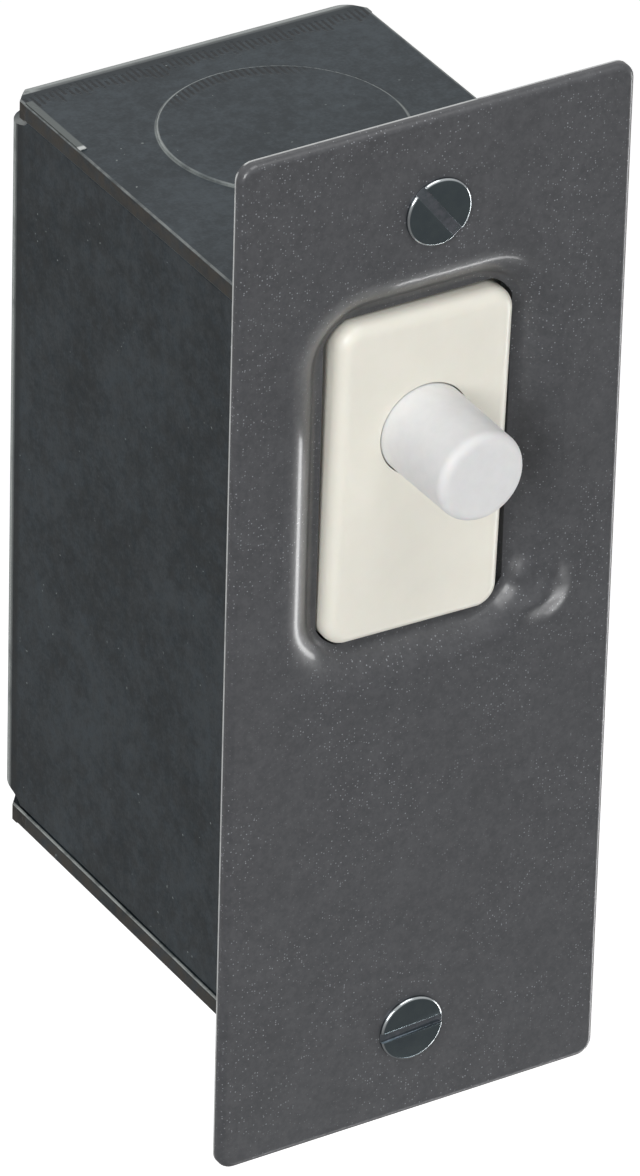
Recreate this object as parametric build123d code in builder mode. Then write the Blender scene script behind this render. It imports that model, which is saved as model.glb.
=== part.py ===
from build123d import *

import math
import os

# Door-jamb light switch in its own wall box. Opening the door lets the plunger out and closes
# the circuit; the closing door pushes the plunger in and the light goes off.
#
# Millimetres. X is to the right as the room sees it, Y goes into the wall, Z is up.
# The origin is the middle of the cover plate's back face, the plane that meets the door jamb.
# Sketch planes parallel to the plate face the room, so a negative extrusion goes into the wall.

# ---------------------------------------------------------------- cover plate
PLATE_WIDTH = 39.0
PLATE_END_MARGIN = 9.23  # of the plate past each cover screw's axis
PLATE_THICKNESS = 1.2
PLATE_CORNER = 1.6
PLATE_EDGE_ROUND = 0.6
PLATE_BACK_ROUND = 0.1
RECESS_DEPTH = 1.9
RECESS_SLOPE = 45.0  # degrees from the plate
RECESS_RIM_ROUND = 4.6
RECESS_ROUND_SHARE = 0.97  # of the slope that its two rounds may take up together
RECESS_FLOOR_ROUND = 1.0
RECESS_FLOOR_CORNER = 5.0
RECESS_FLOOR_MARGIN = 0.9  # floor left showing between the window and the slope
WINDOW_CLEARANCE = 0.15
WINDOW_CORNER = 1.5

# ---------------------------------------------------------------- cover screws, No. 6
SCREW_SPACING = 83.34
SCREW_RADIUS = 1.75
SCREW_LENGTH = 12.7
SCREW_HEAD_RADIUS = 3.2
SCREW_HEAD_HEIGHT = 0.38
SCREW_HEAD_ROUND = 0.22
SCREW_SLOT_WIDTH = 1.0
SCREW_SLOT_DEPTH = 0.28
TOP_SLOT_ANGLE = -52.0
BOTTOM_SLOT_ANGLE = 3.0
THREAD_CLEARANCE = 0.05
PLATE_HOLE_CLEARANCE = 0.3
POINT_CHAMFER = 0.4  # on the point of every screw

# ---------------------------------------------------------------- box, one folded sheet
BOX_WIDTH = 34.7
SCREW_TO_BOX = 4.52  # from a cover screw's axis down to the box
BOX_DEPTH = 41.6
BOX_SHEET = 1.6
BEND_INSIDE = 1.2
WALL_OVERHANG = 0.3  # top and bottom walls stand out past the side walls
WALL_FRONT_SETBACK = 0.4
CORNER_CUT_LENGTH = 3.6  # off each back corner of the top and bottom walls, along Y
CORNER_CUT_WIDTH = 3.0
BURR_LENGTH = 9.4  # raised strip along the rear of the top wall's left edge
BURR_WIDTH = 0.7
BURR_HEIGHT = 0.15
SHEARED_EDGE = 0.2
SEAM_ROUND = 0.4
RELIEF_LENGTH = 4.5  # of the notch at each end of the side walls' back bends, along Y
RELIEF_HEIGHT = 1.45
EAR_WIDTH = 16.0
EAR_HEIGHT = 9.8
EAR_CORNER = 3.0
EAR_BEND_INSIDE = 0.8
EAR_SLIT = 0.8
EAR_ROOT = 1.0  # flat of the top wall behind the ear's bend
KNOCKOUT_DIAMETER = 22.2
KNOCKOUT_DEPTH = 22.7  # from the box's mouth to the knockout's middle
KNOCKOUT_LIFT = 0.2
KNOCKOUT_EDGE = 0.12
FIXING_HOLE_RADIUS = 2.4
FIXING_HOLE_SPACING = 44.0

# ---------------------------------------------------------------- mounting strap
STRAP_THICKNESS = 1.2
STRAP_WIDTH = 25.0
STRAP_END_WIDTH = 13.0
STRAP_END_HEIGHT = 8.6
STRAP_END_CORNER = 2.5
STRAP_GAP = 0.3  # between the recess's back and the strap
STRAP_BEND_INSIDE = 0.5
STRAP_HOLE_LENGTH = 8.0
STRAP_HOLE_WIDTH = 3.9
JOGGLE_CLEARANCE = 1.3  # from the box's end to the start of the joggle
STRAP_SHOULDER = 0.8  # of the wide part below the box's top wall
STRAP_SIDE_CLEARANCE = 0.2
FINGER_WIDTH = 7.0
FINGER_LENGTH = 9.4
FINGER_CLEARANCE = 0.1

# ---------------------------------------------------------------- switch housing
DEVICE_TILT = 1.4  # degrees clockwise, the play that the strap's long holes allow
SWITCH_OFFSET = -0.42  # from the plate's middle line, again within that play
HEADROOM = 3.7  # from the box's top wall down to the ivory face
FACE_WIDTH = 17.6
FACE_HEIGHT = 31.85
FACE_CORNER = 2.2
FACE_ROUND = 1.3
FACE_SETBACK = 0.3  # face behind the front of the plate
FACE_WALL = 2.4
FACE_END_WALL = 1.585  # at the top of the switch, past the bridge's channel
BODY_WIDTH = 22.0
BODY_CORNER = 1.5
BASE_THICKNESS = 3.0
BASE_CHAMFER = 0.6
TERMINAL_SHELF = 2.6  # from the strap's back to the terminals
CORE_WALL = 1.8
LUG_WIDTH = 3.8
LUG_HEIGHT = 1.0
LUG_LENGTH = 2.1
LUG_SLOT_LENGTH = 2.4
LUG_SETBACK = 5.4  # from the strap's back to the lug's tip
LUG_CLEARANCE = 0.1

# ---------------------------------------------------------------- plunger
BUTTON_TRAVEL = 7.5
BUTTON_STICKOUT = 9.7
BUTTON_RADIUS = 4.34
BUTTON_TIP_RADIUS = 4.24
BUTTON_TIP_ROUND = 1.0
BUTTON_CLEARANCE = 0.12
FLANGE_RADIUS = 5.6
FLANGE_THICKNESS = 1.7
FLANGE_CLEARANCE = 0.4
STOP_GAP = 0.15  # the contacts meet before the flange does
NECK_RADIUS = 3.0
PIN_RADIUS = 1.5
PIN_LENGTH = 2.5  # past the bridge, into the spring

# ---------------------------------------------------------------- contacts and terminals
CONTACT_OFFSET = 7.9
CONTACT_RADIUS = 1.6
CONTACT_SHANK_RADIUS = 0.9
CONTACT_TAIL_RADIUS = 1.25
CONTACT_TAIL_HEIGHT = 0.4
CONTACT_CLEARANCE = 0.02
FIXED_CONTACT_HEIGHT = 0.9
BRIDGE_CONTACT_HEIGHT = 0.8
BRIDGE_THICKNESS = 1.0
BRIDGE_WIDTH = 6.0
BRIDGE_OVERLAP = 1.8  # of the bridge past each contact's middle
BRIDGE_CLEARANCE = 0.4
BRIDGE_HOLE_CLEARANCE = 0.1
TERMINAL_THICKNESS = 1.0
TERMINAL_WIDTH = 4.0
TERMINAL_BEND_INSIDE = 0.4
TERMINAL_CLEARANCE = 0.1
TERMINAL_PAD_WIDTH = 7.0
TERMINAL_PAD_LENGTH = 9.0
TERMINAL_PAD_SETBACK = 2.2
TERMINAL_PAD_CORNER = 1.0
BINDING_SHANK = 4.4
BINDING_HEAD_RADIUS = 3.2
BINDING_HEAD_HEIGHT = 1.8
BINDING_SLOT_WIDTH = 1.1
BINDING_SLOT_DEPTH = 0.9
BINDING_SLOT_ANGLE = 35.0

# ---------------------------------------------------------------- spring and base screws
SPRING_PRESSED_LENGTH = 4.3  # with the button fully in
SPRING_RADIUS = 2.9
SPRING_WIRE_RADIUS = 0.27
SPRING_WIRE_SIDES = 8  # flats that stand for the round wire
SPRING_TURNS = 6
SPRING_CLEARANCE = 0.05
SPRING_SEAT_DEPTH = 1.5
SPRING_SEAT_CLEARANCE = 0.45
SPRING_POST_RADIUS = 2.2
SPRING_POST_HEIGHT = 1.3
BASE_POST_LENGTH = 2.8
BASE_POST_CLEARANCE = 0.4
BASE_SCREW_OFFSET = 8.5
BASE_SCREW_RADIUS = 1.2
BASE_SCREW_DEPTH = 9.0
BASE_SCREW_HEAD_RADIUS = 2.1
BASE_SCREW_HEAD_HEIGHT = 1.3
BASE_SCREW_SLOT = 0.7

# ---------------------------------------------------------------- levels along Y
plate_front = -PLATE_THICKNESS
floor_front = plate_front + RECESS_DEPTH
floor_back = floor_front + PLATE_THICKNESS
box_front = STRAP_THICKNESS
box_back = box_front + BOX_DEPTH
strap_front = floor_back + STRAP_GAP
strap_back = strap_front + STRAP_THICKNESS
face_front = plate_front + FACE_SETBACK
chamber_front = face_front + FACE_WALL
flange_front = chamber_front + STOP_GAP
flange_back = flange_front + FLANGE_THICKNESS
terminal_front = strap_back + TERMINAL_SHELF
terminal_back = terminal_front + TERMINAL_THICKNESS
contact_plane = terminal_back + FIXED_CONTACT_HEIGHT
bridge_front = contact_plane + BRIDGE_CONTACT_HEIGHT
bridge_back = bridge_front + BRIDGE_THICKNESS
spring_length = BUTTON_TRAVEL + SPRING_PRESSED_LENGTH
spring_end = bridge_back + spring_length
base_front = spring_end - SPRING_SEAT_DEPTH
base_back = base_front + BASE_THICKNESS

# ---------------------------------------------------------------- shared half sizes and heights
box_top = SCREW_SPACING / 2 - SCREW_TO_BOX
box_inner_top = box_top - BOX_SHEET
channel_half_width = BRIDGE_WIDTH / 2 + BRIDGE_CLEARANCE
bridge_half_length = CONTACT_OFFSET + BRIDGE_OVERLAP
channel_half_length = bridge_half_length + BRIDGE_CLEARANCE
face_top = channel_half_length + FACE_END_WALL
face_bottom = face_top - FACE_HEIGHT
face_drop = FACE_HEIGHT / 2 - face_top
button_z = box_inner_top - HEADROOM - face_top
button_middle = (SWITCH_OFFSET, 0, button_z)
tilt = math.radians(DEVICE_TILT)
face_shift = face_drop * math.sin(tilt)
face_centre_z = button_z - face_drop * math.cos(tilt)
face_reach_x = (FACE_WIDTH * math.cos(tilt) + FACE_HEIGHT * math.sin(tilt)) / 2
face_reach_z = (FACE_HEIGHT * math.cos(tilt) + FACE_WIDTH * math.sin(tilt)) / 2
window_half_width = face_reach_x + face_shift + WINDOW_CLEARANCE
window_half_height = face_reach_z + WINDOW_CLEARANCE
chamber_radius = FLANGE_RADIUS + FLANGE_CLEARANCE
box_side = BOX_WIDTH / 2
box_inner_back = box_back - BOX_SHEET
bend_outside = BEND_INSIDE + BOX_SHEET
knockout_y = box_front + KNOCKOUT_DEPTH
thread_hole = SCREW_RADIUS + THREAD_CLEARANCE


def parallel(depth):
    """Plane parallel to the cover plate, depth behind the plate's back face."""
    return Plane.XZ.offset(-depth)


def in_switch(depth, turn=1):
    """Plane of the tilted switch at a depth, centred on the button; turn -1 is half a turn."""
    across = Vector(math.cos(tilt), 0, -math.sin(tilt)) * turn
    return Plane(origin=(SWITCH_OFFSET, depth, button_z), x_dir=across, z_dir=(0, -1, 0))


def switch_plan(height, turn=1):
    """Plane across the switch at a height over the button: local y goes into the wall."""
    level = in_switch(0, turn)
    return Plane(level.origin, x_dir=level.x_dir, z_dir=level.y_dir).offset(height)


def switch_side(distance, turn=1):
    """Plane along the switch's side, facing out of it: local x goes up and y into the wall."""
    level = in_switch(0, turn)
    return Plane(level.origin, x_dir=level.y_dir, z_dir=-level.x_dir).offset(distance)


def facing_out_at(plane, x, y):
    """The same plane with its origin at one of its points."""
    return Plane(plane.from_local_coords(Vector(x, y, 0)), x_dir=plane.x_dir, z_dir=plane.z_dir)


def sheet_section(points, radii, thickness):
    """Section of a bent sheet: the points follow one of its surfaces, with the sheet on the left."""
    with BuildLine() as outline:
        FilletPolyline(*points, radius=radii)
        offset(amount=thickness, side=Side.LEFT)
    return make_face(outline.edges())


def slotted_screw(seat, head_radius, head_height, slot_width, slot_depth, angle, radius, length):
    """Round-headed machine screw whose head sits on a plane that faces its driver."""
    with BuildPart() as screw:
        with BuildSketch(seat):
            Circle(head_radius)
        extrude(amount=head_height)
        fillet(screw.edges().sort_by(Axis(seat.origin, seat.z_dir))[-1], SCREW_HEAD_ROUND)
        with BuildSketch(seat.offset(head_height)):
            Rectangle(2 * head_radius, slot_width, rotation=angle)
        extrude(amount=-slot_depth, mode=Mode.SUBTRACT)
        with BuildSketch(seat):
            Circle(radius)
        extrude(amount=-length)
        chamfer(screw.edges().sort_by(Axis(seat.origin, seat.z_dir))[0], POINT_CHAMFER)
    return screw.part


def save(part, name):
    part.label = name
    export_step(part, f"parts/{name}.step")


os.makedirs("parts", exist_ok=True)


# ================================================================ cover plate
# The recess is pressed: its back follows its front at the sheet's thickness.
slope_run = RECESS_DEPTH / math.tan(math.radians(RECESS_SLOPE))
slope_length = RECESS_DEPTH / math.sin(math.radians(RECESS_SLOPE))
half_bend = math.tan(math.radians(RECESS_SLOPE) / 2)
back_shift = PLATE_THICKNESS * half_bend
rim_round = min(RECESS_RIM_ROUND, RECESS_ROUND_SHARE * slope_length / half_bend - RECESS_FLOOR_ROUND)
floor_half_width = window_half_width + RECESS_FLOOR_MARGIN
floor_half_height = window_half_height + RECESS_FLOOR_MARGIN


def recess_outline(depth, growth):
    """Outline of the recess at a depth, growth larger all round than its floor."""
    with BuildSketch(parallel(depth)) as outline:
        with Locations((SWITCH_OFFSET, face_centre_z)):
            RectangleRounded(
                2 * (floor_half_width + growth),
                2 * (floor_half_height + growth),
                RECESS_FLOOR_CORNER + growth,
            )
    return outline.sketch


def plate_levels():
    """The plate's flat faces from front to back: front, back, recess floor, back of the floor."""
    return cover_plate.faces().filter_by(Axis.Y).sort_by(Axis.Y)


with BuildPart() as cover_plate:
    with BuildSketch(parallel(0)):
        RectangleRounded(PLATE_WIDTH, SCREW_SPACING + 2 * PLATE_END_MARGIN, PLATE_CORNER)
    extrude(amount=PLATE_THICKNESS)
    fillet(cover_plate.faces().sort_by(Axis.Y)[0].edges(), PLATE_EDGE_ROUND)
    fillet(cover_plate.faces().sort_by(Axis.Y)[-1].edges(), PLATE_BACK_ROUND)
    loft([recess_outline(0, slope_run + back_shift), recess_outline(floor_back, back_shift)], ruled=True)
    loft(
        [recess_outline(plate_front, slope_run), recess_outline(floor_front, 0)],
        ruled=True,
        mode=Mode.SUBTRACT,
    )
    fillet(plate_levels()[2].outer_wire().edges(), RECESS_FLOOR_ROUND)
    fillet(plate_levels()[0].inner_wires()[0].edges(), rim_round)
    fillet(plate_levels()[3].outer_wire().edges(), RECESS_FLOOR_ROUND + PLATE_THICKNESS)
    fillet(plate_levels()[1].inner_wires()[0].edges(), rim_round - PLATE_THICKNESS)
    with BuildSketch(parallel(floor_back)):
        with Locations((SWITCH_OFFSET, face_centre_z)):
            RectangleRounded(2 * window_half_width, 2 * window_half_height, WINDOW_CORNER)
    extrude(amount=PLATE_THICKNESS, mode=Mode.SUBTRACT)
    with BuildSketch(parallel(0)):
        with Locations((0, SCREW_SPACING / 2), (0, -SCREW_SPACING / 2)):
            Circle(SCREW_RADIUS + PLATE_HOLE_CLEARANCE)
    extrude(amount=PLATE_THICKNESS, mode=Mode.SUBTRACT)
save(cover_plate.part, "cover_plate")


# ================================================================ cover screws
cover_screws = {
    "top_cover_screw": (SCREW_SPACING / 2, TOP_SLOT_ANGLE),
    "bottom_cover_screw": (-SCREW_SPACING / 2, BOTTOM_SLOT_ANGLE),
}
for name, (height, angle) in cover_screws.items():
    seat = facing_out_at(parallel(plate_front), 0, height)
    screw = slotted_screw(
        seat,
        SCREW_HEAD_RADIUS,
        SCREW_HEAD_HEIGHT,
        SCREW_SLOT_WIDTH,
        SCREW_SLOT_DEPTH,
        angle,
        SCREW_RADIUS,
        SCREW_LENGTH,
    )
    save(screw, name)


# ================================================================ box
# One cross-shaped blank: the side walls fold up inside the top and bottom walls, and a relief
# at each back corner keeps the two bends apart.
wall_front = box_front + WALL_FRONT_SETBACK
wall_back = box_back - bend_outside
wall_half_width = box_side + WALL_OVERHANG
ear_turn = EAR_BEND_INSIDE + BOX_SHEET
ear_root = box_front + ear_turn + EAR_ROOT
inner_side = box_side - BOX_SHEET
panel_half_width = box_side - bend_outside
burr_x = -wall_half_width + SHEARED_EDGE + BURR_WIDTH / 2
burr_back = box_back - CORNER_CUT_LENGTH - BURR_WIDTH

with BuildPart() as spine:
    with BuildSketch(Plane.YZ):
        sheet_section(
            [
                (wall_back - BOX_SHEET, box_inner_top),
                (box_inner_back, box_inner_top),
                (box_inner_back, -box_inner_top),
                (wall_back - BOX_SHEET, -box_inner_top),
            ],
            [BEND_INSIDE, BEND_INSIDE],
            BOX_SHEET,
        )
    extrude(amount=wall_half_width, both=True)
    wing = wall_half_width - panel_half_width
    with BuildSketch(parallel(box_back)):
        with Locations((panel_half_width + wing / 2, 0), (-panel_half_width - wing / 2, 0)):
            Rectangle(wing, 2 * (box_top - bend_outside))
    extrude(amount=bend_outside, mode=Mode.SUBTRACT)

with BuildPart() as side_walls:
    with BuildSketch(Plane.XY):
        sheet_section(
            [
                (-inner_side, wall_front),
                (-inner_side, box_inner_back),
                (inner_side, box_inner_back),
                (inner_side, wall_front),
            ],
            [BEND_INSIDE, BEND_INSIDE],
            BOX_SHEET,
        )
    extrude(amount=box_inner_top, both=True)
    with BuildSketch(Plane.YZ):
        with Locations((box_back, box_inner_top), (box_back, -box_inner_top)):
            Ellipse(RELIEF_LENGTH, RELIEF_HEIGHT)
    extrude(amount=BOX_WIDTH, both=True, mode=Mode.SUBTRACT)
    seams = side_walls.edges().filter_by(Axis.Y).group_by(Axis.X)
    fillet(seams[0] + seams[-1], SEAM_ROUND)

with BuildPart() as ear:
    with BuildSketch(Plane.YZ):
        sheet_section(
            [
                (box_front, box_top + EAR_HEIGHT),
                (box_front, box_inner_top),
                (ear_root, box_inner_top),
            ],
            [ear_turn],
            BOX_SHEET,
        )
    extrude(amount=EAR_WIDTH / 2, both=True)
    fillet(ear.edges().filter_by(Axis.Y).group_by(Axis.Z)[-1], EAR_CORNER)
    with BuildSketch(parallel(box_front)):
        with Locations((0, SCREW_SPACING / 2)):
            Circle(thread_hole)
    extrude(amount=-BOX_SHEET, mode=Mode.SUBTRACT)


def end_wall():
    """Top wall with its knockout; the bottom wall is its mirror image."""
    with BuildPart() as wall:
        with BuildSketch(Plane.XY.offset(box_inner_top)):
            with Locations((0, (wall_front + wall_back) / 2)):
                Rectangle(2 * wall_half_width, wall_back - wall_front)
            with Locations((0, wall_front)):
                Rectangle(
                    EAR_WIDTH + 2 * EAR_SLIT,
                    ear_root - EAR_ROOT / 2 - wall_front,
                    align=(Align.CENTER, Align.MIN),
                    mode=Mode.SUBTRACT,
                )
        extrude(amount=BOX_SHEET)
        sides = wall.edges().filter_by(Axis.Y).group_by(Axis.X)
        fillet(sides[0] + sides[-1], SHEARED_EDGE)
        with BuildSketch(Plane.XY.offset(box_inner_top)):
            with Locations((0, knockout_y)):
                Circle(KNOCKOUT_DIAMETER / 2)
        extrude(amount=KNOCKOUT_LIFT, mode=Mode.SUBTRACT)
        with BuildSketch(Plane.XY.offset(box_top)):
            with Locations((0, knockout_y)):
                Circle(KNOCKOUT_DIAMETER / 2)
        extrude(amount=KNOCKOUT_LIFT)
        fillet(wall.faces().sort_by(Axis.Z)[-1].edges(), KNOCKOUT_EDGE)
    return wall.part


with BuildPart() as box:
    add(spine.part)
    add(end_wall())
    add(mirror(end_wall(), about=Plane.XY, mode=Mode.PRIVATE))
    with BuildSketch(Plane.XY.offset(box_top)):
        with Locations((burr_x, burr_back)):
            Rectangle(BURR_WIDTH, BURR_LENGTH, align=(Align.CENTER, Align.MAX))
    extrude(amount=BURR_HEIGHT)
    with BuildSketch(Plane.XY):
        with BuildLine():
            Polyline(
                (wall_half_width, box_back - CORNER_CUT_LENGTH),
                (wall_half_width, box_back),
                (wall_half_width - CORNER_CUT_WIDTH, box_back),
                close=True,
            )
        make_face()
        mirror(about=Plane.YZ)
    extrude(amount=box_top, both=True, mode=Mode.SUBTRACT)
    add(side_walls.part)
    add(ear.part)
    add(mirror(ear.part, about=Plane.XY, mode=Mode.PRIVATE))
    with BuildSketch(parallel(box_back)):
        with Locations((0, FIXING_HOLE_SPACING / 2), (0, -FIXING_HOLE_SPACING / 2)):
            Circle(FIXING_HOLE_RADIUS)
    extrude(amount=BOX_SHEET, mode=Mode.SUBTRACT)
save(box.part, "box")


# ================================================================ mounting strap
# Clamped between the plate and the ears; its middle is set back behind the recess, and a finger
# at each end of its window goes back along the switch and catches a lug.
hole_top = SCREW_SPACING / 2 - button_z
hole_bottom = -SCREW_SPACING / 2 - button_z
joggle_top = box_top - JOGGLE_CLEARANCE - button_z
joggle_bottom = JOGGLE_CLEARANCE - box_top - button_z
shoulder_top = box_inner_top - STRAP_SHOULDER - button_z
shoulder_bottom = STRAP_SHOULDER - box_inner_top - button_z
finger_turn = STRAP_BEND_INSIDE + STRAP_THICKNESS
finger_top = face_top + FINGER_CLEARANCE
finger_bottom = face_bottom - FINGER_CLEARANCE
window_top = finger_top + finger_turn
window_bottom = finger_bottom - finger_turn
finger_end = strap_back + FINGER_LENGTH
lug_front = strap_back + LUG_SETBACK
lug_back = lug_front + LUG_LENGTH
switch_section = Plane(in_switch(0).origin, x_dir=(0, 1, 0), z_dir=in_switch(0).x_dir)

with BuildPart() as mounting_strap:
    with BuildSketch(switch_section):
        sheet_section(
            [
                (0, hole_top + STRAP_END_HEIGHT / 2),
                (0, joggle_top),
                (strap_front, joggle_top - strap_front),
                (strap_front, joggle_bottom + strap_front),
                (0, joggle_bottom),
                (0, hole_bottom - STRAP_END_HEIGHT / 2),
            ],
            [finger_turn, STRAP_BEND_INSIDE, STRAP_BEND_INSIDE, finger_turn],
            STRAP_THICKNESS,
        )
    extrude(amount=STRAP_WIDTH / 2, both=True)
    with BuildSketch(in_switch(0)):
        for side in (1, -1):
            waist = side * (STRAP_WIDTH + STRAP_END_WIDTH) / 4
            trim = (STRAP_WIDTH - STRAP_END_WIDTH) / 2
            with Locations((waist, shoulder_top)):
                Rectangle(trim, SCREW_SPACING, align=(Align.CENTER, Align.MIN))
            with Locations((waist, shoulder_bottom)):
                Rectangle(trim, SCREW_SPACING, align=(Align.CENTER, Align.MAX))
        with Locations((0, (window_top + window_bottom) / 2)):
            Rectangle(FACE_WIDTH + 2 * STRAP_SIDE_CLEARANCE, window_top - window_bottom)
        with Locations((0, hole_top), (0, hole_bottom)):
            SlotOverall(STRAP_HOLE_LENGTH, STRAP_HOLE_WIDTH)
    extrude(amount=-strap_back, mode=Mode.SUBTRACT)
    fillet(mounting_strap.edges().filter_by(Axis.Y).group_by(Axis.Z)[0], STRAP_END_CORNER)
    fillet(mounting_strap.edges().filter_by(Axis.Y).group_by(Axis.Z)[-1], STRAP_END_CORNER)
    with BuildSketch(switch_section):
        sheet_section(
            [
                (strap_front, window_top + STRAP_THICKNESS),
                (strap_front, finger_top),
                (finger_end, finger_top),
            ],
            [finger_turn],
            STRAP_THICKNESS,
        )
        sheet_section(
            [
                (finger_end, finger_bottom),
                (strap_front, finger_bottom),
                (strap_front, window_bottom - STRAP_THICKNESS),
            ],
            [finger_turn],
            STRAP_THICKNESS,
        )
    extrude(amount=FINGER_WIDTH / 2, both=True)
    with BuildSketch(switch_plan(0)):
        with Locations((0, lug_back + LUG_CLEARANCE)):
            Rectangle(LUG_WIDTH + 2 * LUG_CLEARANCE, LUG_SLOT_LENGTH, align=(Align.CENTER, Align.MAX))
    extrude(amount=FACE_HEIGHT, both=True, mode=Mode.SUBTRACT)
save(mounting_strap.part, "mounting_strap")


# ================================================================ switch housing
channel = base_front - terminal_front
core_top = -channel_half_length - CORE_WALL
core_bottom = face_bottom + CORE_WALL
with BuildPart() as switch_body:
    with BuildSketch(in_switch(strap_back)):
        with Locations((0, -face_drop)):
            RectangleRounded(FACE_WIDTH, FACE_HEIGHT, FACE_CORNER)
    extrude(amount=strap_back - face_front)
    fillet(switch_body.faces().sort_by(Axis.Y)[0].edges(), FACE_ROUND)
    with BuildSketch(in_switch(strap_back)):
        with Locations((0, -face_drop)):
            RectangleRounded(BODY_WIDTH, FACE_HEIGHT, BODY_CORNER)
    extrude(amount=strap_back - base_front)
    with BuildSketch(in_switch(face_front)):
        Circle(BUTTON_RADIUS + BUTTON_CLEARANCE)
    extrude(amount=-FACE_WALL, mode=Mode.SUBTRACT)
    with BuildSketch(in_switch(chamber_front)):
        Circle(chamber_radius)
    extrude(amount=chamber_front - base_front, mode=Mode.SUBTRACT)
    with BuildSketch(in_switch(terminal_front)):
        Rectangle(2 * channel_half_width, 2 * channel_half_length)
        for turn in (1, -1):
            with Locations((0, turn * CONTACT_OFFSET)):
                Rectangle(
                    BODY_WIDTH,
                    TERMINAL_WIDTH + 2 * TERMINAL_CLEARANCE,
                    align=(Align.MAX if turn > 0 else Align.MIN, Align.CENTER),
                )
    extrude(amount=-channel, mode=Mode.SUBTRACT)
    with BuildSketch(in_switch(terminal_front)):
        with Locations((0, CONTACT_OFFSET), (0, -CONTACT_OFFSET)):
            Circle(CONTACT_TAIL_RADIUS + TERMINAL_CLEARANCE)
    extrude(amount=CONTACT_TAIL_HEIGHT + TERMINAL_CLEARANCE, mode=Mode.SUBTRACT)
    with BuildSketch(in_switch(base_front)):
        with Locations((0, (core_top + core_bottom) / 2)):
            Rectangle(BODY_WIDTH - 2 * CORE_WALL, core_top - core_bottom)
    extrude(amount=base_front - strap_back - CORE_WALL, mode=Mode.SUBTRACT)
    with BuildSketch(in_switch(base_front)):
        with Locations((BASE_SCREW_OFFSET, 0), (-BASE_SCREW_OFFSET, 0)):
            Circle(BASE_SCREW_RADIUS + THREAD_CLEARANCE)
    extrude(amount=BASE_SCREW_DEPTH + POINT_CHAMFER, mode=Mode.SUBTRACT)
    with BuildSketch(switch_section):
        for end, height in ((face_top, LUG_HEIGHT), (face_bottom, -LUG_HEIGHT)):
            with BuildLine():
                Polyline((lug_front, end), (lug_back, end), (lug_back, end + height), close=True)
            make_face()
    extrude(amount=LUG_WIDTH / 2, both=True)
save(switch_body.part, "switch_body")


with BuildPart() as switch_base:
    with BuildSketch(in_switch(base_front)):
        with Locations((0, -face_drop)):
            RectangleRounded(BODY_WIDTH, FACE_HEIGHT, BODY_CORNER)
    extrude(amount=-BASE_THICKNESS)
    chamfer(switch_base.faces().sort_by(Axis.Y)[-1].edges(), BASE_CHAMFER)
    with BuildSketch(in_switch(base_front)):
        Circle(SPRING_RADIUS + SPRING_WIRE_RADIUS + SPRING_SEAT_CLEARANCE)
        with Locations((BASE_SCREW_OFFSET, 0), (-BASE_SCREW_OFFSET, 0)):
            Circle(BASE_SCREW_RADIUS + PLATE_HOLE_CLEARANCE)
    extrude(amount=-SPRING_SEAT_DEPTH, mode=Mode.SUBTRACT)
    with BuildSketch(in_switch(spring_end)):
        with Locations((BASE_SCREW_OFFSET, 0), (-BASE_SCREW_OFFSET, 0)):
            Circle(BASE_SCREW_RADIUS + PLATE_HOLE_CLEARANCE)
    extrude(amount=spring_end - base_back, mode=Mode.SUBTRACT)
    with BuildSketch(in_switch(spring_end)):
        Circle(SPRING_POST_RADIUS)
    extrude(amount=SPRING_POST_HEIGHT)
    for turn in (1, -1):
        with BuildSketch(in_switch(base_front, turn)):
            with Locations((-channel_half_width - BASE_POST_CLEARANCE, CONTACT_OFFSET)):
                Rectangle(BASE_POST_LENGTH, TERMINAL_WIDTH, align=(Align.MAX, Align.CENTER))
        extrude(amount=base_front - terminal_back)
save(switch_base.part, "switch_base")


for name, side in (("left_base_screw", -1), ("right_base_screw", 1)):
    centre = in_switch(base_back).from_local_coords(Vector(side * BASE_SCREW_OFFSET, 0, 0))
    screw = slotted_screw(
        Plane(centre, x_dir=in_switch(0).x_dir, z_dir=(0, 1, 0)),
        BASE_SCREW_HEAD_RADIUS,
        BASE_SCREW_HEAD_HEIGHT,
        BASE_SCREW_SLOT,
        BASE_SCREW_SLOT,
        0,
        BASE_SCREW_RADIUS,
        BASE_THICKNESS + BASE_SCREW_DEPTH,
    )
    save(screw, name)


# ================================================================ plunger
with BuildPart() as button:
    with BuildSketch(Plane(button_middle)) as profile:
        with BuildLine():
            Polyline(
                (0, face_front - BUTTON_STICKOUT),
                (BUTTON_TIP_RADIUS, face_front - BUTTON_STICKOUT),
                (BUTTON_RADIUS, face_front),
                (BUTTON_RADIUS, flange_front),
                (FLANGE_RADIUS, flange_front),
                (FLANGE_RADIUS, flange_back),
                (NECK_RADIUS, flange_back),
                (NECK_RADIUS, bridge_front),
                (PIN_RADIUS, bridge_front),
                (PIN_RADIUS, bridge_back + PIN_LENGTH),
                (0, bridge_back + PIN_LENGTH),
                close=True,
            )
        make_face()
        fillet(profile.vertices().group_by(Axis.Y)[0].sort_by(Axis.X)[-1], BUTTON_TIP_ROUND)
    revolve(axis=Axis(button_middle, (0, 1, 0)))
save(button.part, "button")


with BuildPart() as contact_bridge:
    with BuildSketch(in_switch(bridge_front)):
        RectangleRounded(BRIDGE_WIDTH, 2 * bridge_half_length, BRIDGE_OVERLAP / 2)
        Circle(PIN_RADIUS + BRIDGE_HOLE_CLEARANCE, mode=Mode.SUBTRACT)
        with Locations((0, CONTACT_OFFSET), (0, -CONTACT_OFFSET)):
            Circle(CONTACT_SHANK_RADIUS + CONTACT_CLEARANCE, mode=Mode.SUBTRACT)
    extrude(amount=-BRIDGE_THICKNESS)
save(contact_bridge.part, "contact_bridge")


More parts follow.
